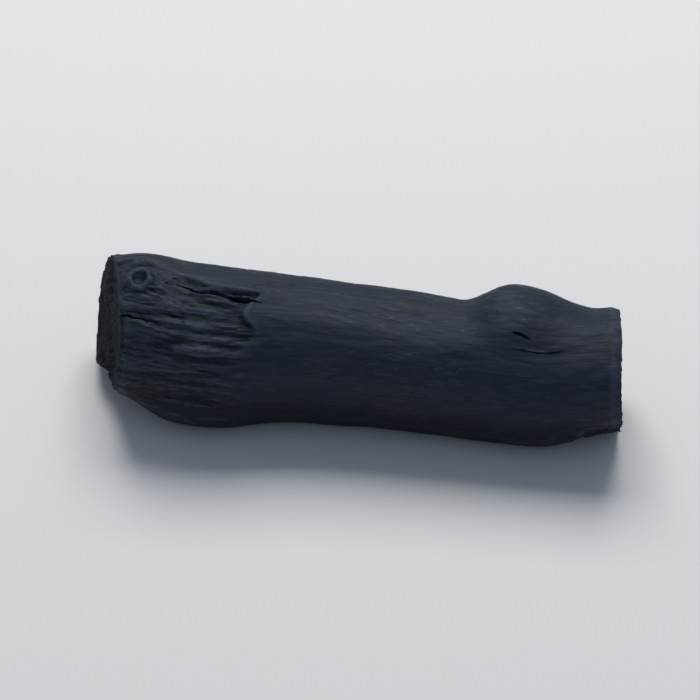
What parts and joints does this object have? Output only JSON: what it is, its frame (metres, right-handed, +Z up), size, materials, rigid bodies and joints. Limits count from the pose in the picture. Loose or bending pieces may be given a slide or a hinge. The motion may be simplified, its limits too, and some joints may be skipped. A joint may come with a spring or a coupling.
{
  "type": "charcoal lump",
  "caption": "Lump of hardwood charcoal: a charred length of branch with a burnt-off side branch, a twig's eye, drying cracks and broken end faces.",
  "frame": {"origin": "the middle of the lump's box in X and Y, on the surface that it lies on", "axes": "+X along the branch, towards the end with the burnt-off side branch; +Z up; -Y towards the side that faces the camera"},
  "size_m": [0.154, 0.0456, 0.0467],
  "materials": {
    "char": "matte"
  },
  "bodies": {
    "root": {"charcoal_lump": "char"}
  },
  "joints": []
}
